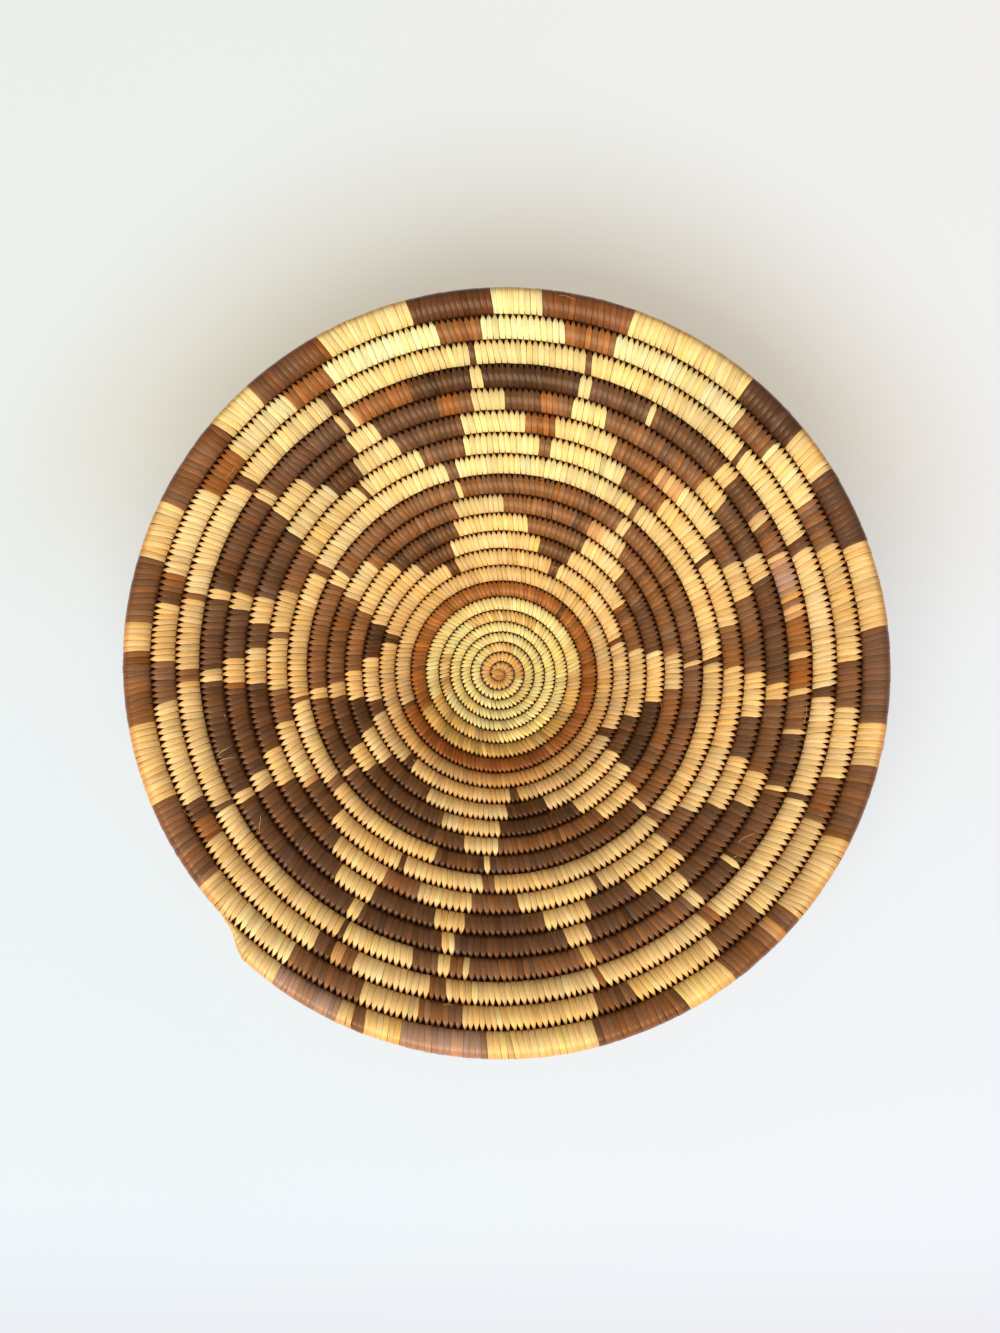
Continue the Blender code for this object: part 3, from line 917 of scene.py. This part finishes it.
def knot_mesh(dyes, seed):
    """The start knot: strips of leaf crossed over each other, above and below a short stub of the bundle."""
    chance = random.Random(seed)
    low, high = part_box("start_knot")
    bm = bmesh.new()
    bm.from_mesh(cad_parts["start_knot"].data)
    bmesh.ops.remove_doubles(bm, verts=bm.verts, dist=1e-6)
    layers = {
        UV_NAME: bm.loops.layers.uv.new(UV_NAME),
        LEAF: bm.verts.layers.float_color.new(LEAF),
        GRAIN: bm.verts.layers.float.new(GRAIN),
    }
    middle = (low.z + high.z) / 2
    thick = (high.z - low.z) / 2
    rise = WRAP_RISE * thick
    for vertex in bm.verts:
        vertex.co.z = middle + (vertex.co.z - middle) * CORE_HEIGHT
        vertex[layers[LEAF]] = (*(value * CORE_TINT for value in dyes.heart), 1.0)
    for start, end, width, above in KNOT_WRAPS:
        tone = 1 + WRAP_TONE * chance.uniform(-1, 1)
        colour = [value * share * tone for value, share in zip(dyes.heart, WRAP_TINT)]
        top = middle + WRAP_HEIGHT * thick + above
        lens_strip(bm, layers, (*start, top), (*end, top), width, rise, colour, chance.random())
        under = max(2 * middle - top, low.z + WRAP_LOWEST * thick)
        lens_strip(bm, layers, (*end, under), (*start, under), width, -rise, colour, chance.random())
    bmesh.ops.recalc_face_normals(bm, faces=bm.faces)
    mesh = bpy.data.meshes.new("knot_wraps")
    bm.to_mesh(mesh)
    bm.free()
    mesh.shade_smooth()
    return mesh


def add_material(name):
    """A new material, with a Socket to build from and its shader."""
    material = bpy.data.materials.new(name)
    material.use_nodes = True
    return material, Socket(material.node_tree), material.node_tree.nodes["Principled BSDF"]


def join(value, shader, name):
    """Links a value to one of the shader's inputs."""
    value.tree.links.new(value.socket, shader.inputs[name])


def join_bump(height, shader, strength, distance):
    """Raises the shader's surface by a height."""
    values = {"Height": height, "Strength": strength, "Distance": distance}
    join(height.node("ShaderNodeBump", values=values), shader, "Normal")


def noise(vector, scale, detail=2.0, roughness=0.5):
    values = {"Vector": vector, "Scale": scale, "Detail": detail, "Roughness": roughness}
    return vector.node("ShaderNodeTexNoise", values=values)


def blend_colours(factor, here, there):
    """From one colour to another as the factor goes from 0 to 1."""
    values = {"Factor": factor, "A": here, "B": there}
    return factor.node("ShaderNodeMix", {"data_type": "RGBA"}, values, "Result")


def tinted(colour, tint):
    """A colour times a fixed tint."""
    return colour.node("ShaderNodeVectorMath", {"operation": "MULTIPLY"}, {0: colour, 1: tint})


def leaf_finish():
    """Split leaf: satin, with fibres along the strip, darker at its edges, partly stain and partly painted
    shade between strips, and warmer and darker where it dives in, partly its own tone and partly painted
    shade.
    """
    material, root, shader = add_material("split leaf")
    u, v, _ = root.node("ShaderNodeUVMap", {"uv_map": UV_NAME}).xyz()
    leaf = root.node("ShaderNodeAttribute", {"attribute_name": LEAF}, output="Color")
    grain = root.node("ShaderNodeAttribute", {"attribute_name": GRAIN}, output="Fac")
    gloss = root.node("ShaderNodeAttribute", {"attribute_name": GLOSS}, output="Fac")
    # The grain number gives each strip its own part of the noise
    along = as_vector(root, u * 7.0 + grain * 61.0, v * 3.0, grain * 97.0)
    fibres = noise(along, 1.0, 3.0, 0.6)
    splits = noise(along, 1.7, 1.0).eased(0.6, 0.68)
    patches = noise(as_vector(root, u, v * 6.0, grain * 53.0), 1.3)
    # edge lines: thin dark lines at a strip's edges, fainter on dyed leaf, partly stain and partly painted
    # shade in the grooves between strips
    edge = (u - 0.5).maths("ABSOLUTE").eased(0.39, 0.5) * (grain * 0.75 + 0.25) * (1.0 - gloss * 0.45)
    # ends: warmer, darker leaf where the strip dives into the groove, partly its own tone and partly painted
    # shade
    ends = (v * math.tau).maths("COSINE").eased(0.55, 1.0)
    colour = blend_colours(fibres.eased(0.35, 0.65), tinted(leaf, FIBRE_GAP_TINT), tinted(leaf, FIBRE_TINT))
    colour = blend_colours(patches.eased(0.55, 0.75) * 0.3, colour, tinted(leaf, PATCH_TINT))
    colour = blend_colours(edge.maths("MAXIMUM", splits * 0.35), colour, tinted(leaf, EDGE_STAIN_AND_SHADE))
    colour = blend_colours(ends * 0.8, colour, tinted(colour, DIVE_WARMTH_AND_SHADE))
    join(colour, shader, "Base Color")
    join(0.50 - gloss * 0.12 - fibres * 0.14, shader, "Roughness")
    shader.inputs["Specular IOR Level"].default_value = 0.4
    shader.inputs["Specular Tint"].default_value = (1.0, 0.72, 0.42, 1.0)
    join_bump(fibres - splits * 0.5, shader, 0.3, 0.0001)
    return material


def painted_shade_grass_finish(colour):
    """Dry grass stems in the deep grooves, a near-black brown that is painted shade, streaked along the
    stems.
    """
    material, root, shader = add_material("grass stems")
    streaks = noise(root.node("ShaderNodeTexCoord", output="Object"), 900.0, 3.0, 0.6)
    light = (*(value * 2.2 for value in colour), 1.0)
    join(blend_colours(streaks.eased(0.4, 0.75), (*colour, 1.0), light), shader, "Base Color")
    join(streaks * 0.2 + 0.7, shader, "Roughness")
    shader.inputs["Specular IOR Level"].default_value = 0.08
    join_bump(streaks, shader, 0.6, 0.0003)
    return material


def fibre_finish(colour):
    """A hair-thin stray fibre, paler than the leaf."""
    material, root, shader = add_material("loose fibre")
    tone = noise(root.node("ShaderNodeTexCoord", output="Object"), 120.0)
    pale = tuple(min(value * 1.1, 1.0) for value in colour)
    warm = (colour[0] * 0.8, colour[1] * 0.66, colour[2] * 0.5)
    join(blend_colours(tone.eased(0.4, 0.6), (*warm, 1.0), (*pale, 1.0)), shader, "Base Color")
    shader.inputs["Roughness"].default_value = 0.6
    return material


def floor_finish(stage):
    """A plain pale floor that goes from one tone to another along Y, with a painted warm shadow just behind
    the basket's far rim, and darker towards the front edge.
    """
    material, root, shader = add_material("pale floor")
    place = root.node("ShaderNodeTexCoord", output="Object")
    x, y, _ = place.xyz()
    mottle = (noise(place, 3.0) - 0.5) * 0.15
    near, far = ((*colour, 1.0) for colour in (stage.floor_near, stage.floor_far))
    colour = blend_colours((y + mottle).eased(-0.35, 0.35), near, far)
    colour = blend_colours(x.eased(-0.25, 0.25), tinted(colour, FLOOR_LEFT_TINT), colour)
    reach = (x * x + y * y).maths("SQRT")
    # painted shadow: a warmer, darker floor just behind the basket's far rim
    behind = reach.eased(0.16, 0.30, 1.0, 0.0) * y.eased(0.0, 0.15)
    colour = blend_colours(behind, colour, tinted(colour, FLOOR_PAINTED_SHADOW))
    colour = blend_colours(y.eased(-0.33, -0.24, 1.0, 0.0), colour, tinted(colour, FLOOR_FRONT_TINT))
    join(colour, shader, "Base Color")
    shader.inputs["Roughness"].default_value = 0.8
    shader.inputs["Specular IOR Level"].default_value = 0.1
    direct = root.node("ShaderNodeLightPath", output="Is Camera Ray")
    glossy = root.node("ShaderNodeLightPath", output="Is Glossy Ray")
    glow = root.node("ShaderNodeEmission", values={"Color": colour, "Strength": 1.0})
    lit = Socket(root.tree, shader.outputs["BSDF"])
    seen = direct.maths("MAXIMUM", glossy) * stage.floor_glow
    mixed = root.node("ShaderNodeMixShader", values={0: seen, 1: lit, 2: glow})
    root.tree.links.new(mixed.socket, root.tree.nodes["Material Output"].inputs["Surface"])
    return material


class BASKET_OT_stitches(bpy.types.Operator):
    """Wrap every round in its leaf stitches, and the tail"""

    bl_idname = "basket.stitches"
    bl_label = "Stitches"

    def execute(self, context):
        coil, dyes = context.scene.basket_coil, context.scene.basket_dyes
        stitches = lay_stitches(coil, dyes)
        tree = stitch_tree()
        inputs = {
            "Thickness": coil.thickness, "Shingle": coil.shingle, "Bite": coil.bite,
            "Round Gap": ROUND_GAP, "Tooth Width": coil.tooth_width, "Heel Width": coil.heel_width,
            "Material": leaf_finish(),
        }
        tail = [stitch for stitch in stitches if stitch["turn"] >= TAIL_START]
        groups = {"tail_wrap": ("tail_stitches", tail)}
        for number in range(1, ROUNDS + 1):
            last = min(number, TAIL_START)
            own = [stitch for stitch in stitches if number - 1 <= stitch["turn"] < last]
            groups[f"stitching_round_{number:02d}"] = (f"stitches_round_{number:02d}", own)
        for node, (name, own) in groups.items():
            piece = plain_mesh(name, station_mesh(name, own), tree, inputs)
            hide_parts(node)
        return {"FINISHED"}


class BASKET_OT_bundle(bpy.types.Operator):
    """Lay the bundle of grass stems that the stitches wrap"""

    bl_idname = "basket.bundle"
    bl_label = "Grass Bundle"

    def execute(self, context):
        bundle, dyes = context.scene.basket_bundle, context.scene.basket_dyes
        inputs = {"Stems": bundle.stems, "Groove": STEM_GROOVE, "Material": painted_shade_grass_finish(dyes.grass)}
        piece = plain_mesh("foundation_bundle", bundle_mesh(bundle), bundle_tree(), inputs)
        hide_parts("foundation_coil")
        return {"FINISHED"}


class BASKET_OT_knot(bpy.types.Operator):
    """Wrap the start knot"""

    bl_idname = "basket.knot"
    bl_label = "Start Knot"

    def execute(self, context):
        mesh = knot_mesh(context.scene.basket_dyes, context.scene.basket_coil.seed)
        mesh.materials.append(bpy.data.materials["split leaf"])
        piece = add_object("knot_wraps", mesh)
        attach(piece, "root")
        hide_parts("start_knot")
        return {"FINISHED"}


class BASKET_OT_fibres(bpy.types.Operator):
    """Scatter fine fibres that have come loose from the leaf"""

    bl_idname = "basket.fibres"
    bl_label = "Loose Fibres"

    def execute(self, context):
        bundle, dyes = context.scene.basket_bundle, context.scene.basket_dyes
        lines = fibre_mesh(bundle, context.scene.basket_coil.seed)
        finish = fibre_finish(dyes.undyed)
        piece = plain_mesh("loose_fibres", lines, fibre_tree(), {"Material": finish})
        return {"FINISHED"}


class BASKET_OT_stage(bpy.types.Operator):
    """Set the floor, the soft lamp and the camera"""

    bl_idname = "basket.stage"
    bl_label = "Stage"

    def execute(self, context):
        scene = context.scene
        stage = scene.basket_stage
        corners = [(x * FLOOR_HALF, y * FLOOR_HALF, 0.0) for x, y in ((-1, -1), (1, -1), (1, 1), (-1, 1))]
        mesh = bpy.data.meshes.new("floor")
        mesh.from_pydata(corners, [], [(0, 1, 2, 3)])
        mesh.materials.append(floor_finish(stage))
        floor = add_object("floor", mesh)

        lamp = bpy.data.lights.new("soft lamp", "AREA")
        lamp.shape = "RECTANGLE"
        lamp.size, lamp.size_y = (share * stage.lamp_distance for share in LAMP_SIZE)
        lamp.energy = stage.lamp_power
        lamp.color = LAMP_COLOUR
        holder = add_object("soft lamp", lamp)
        level = math.cos(stage.lamp_height)
        aside, back = level * math.sin(stage.lamp_turn), level * math.cos(stage.lamp_turn)
        away = Vector((-aside, -back, math.sin(stage.lamp_height)))
        holder.location = away * stage.lamp_distance
        holder.rotation_euler = away.to_track_quat("Z", "Y").to_euler()

        world = bpy.data.worlds.new("even light")
        world.use_nodes = True
        background = world.node_tree.nodes["Background"]
        background.inputs["Color"].default_value = EVEN_LIGHT_COLOUR
        background.inputs["Strength"].default_value = stage.fill
        scene.world = world

        camera = bpy.data.cameras.new("camera")
        camera.lens = stage.lens
        camera.sensor_width = 36.0
        camera.clip_start = 0.01
        eye = add_object("camera", camera)
        back = stage.camera_distance * math.sin(stage.camera_tilt)
        up = stage.camera_distance * math.cos(stage.camera_tilt)
        eye.location = (0.0, stage.camera_aim - back, up)
        eye.rotation_euler = (stage.camera_tilt, 0.0, 0.0)
        scene.camera = eye
        scene.view_settings.view_transform = "Standard"
        return {"FINISHED"}


class BASKET_PT_panel(bpy.types.Panel):
    """Sizes, colours and the steps that make the basket"""

    bl_idname = "BASKET_PT_panel"
    bl_label = "Coiled Basket"
    bl_space_type = "VIEW_3D"
    bl_region_type = "UI"
    bl_category = "Basket"

    def draw(self, context):
        for step in STEPS:
            self.layout.operator(step.bl_idname)
        for name, group in SETTINGS.items():
            box = self.layout.box()
            for field in group.__annotations__:
                box.prop(getattr(context.scene, name), field)


SETTINGS = {
    "basket_coil": CoilSettings,
    "basket_dyes": DyeSettings,
    "basket_bundle": BundleSettings,
    "basket_stage": StageSettings,
}
STEPS = (BASKET_OT_stitches, BASKET_OT_bundle, BASKET_OT_knot, BASKET_OT_fibres, BASKET_OT_stage)
CLASSES = (*SETTINGS.values(), *STEPS, BASKET_PT_panel)


def register():
    for made in CLASSES:
        bpy.utils.register_class(made)
    for name, group in SETTINGS.items():
        setattr(bpy.types.Scene, name, PointerProperty(type=group))


def unregister():
    for name in SETTINGS:
        delattr(bpy.types.Scene, name)
    for made in reversed(CLASSES):
        bpy.utils.unregister_class(made)


def main():
    register()
    bpy.ops.basket.stitches()
    bpy.ops.basket.bundle()
    bpy.ops.basket.knot()
    bpy.ops.basket.fibres()
    bpy.ops.basket.stage()


if __name__ == "__main__":
    main()
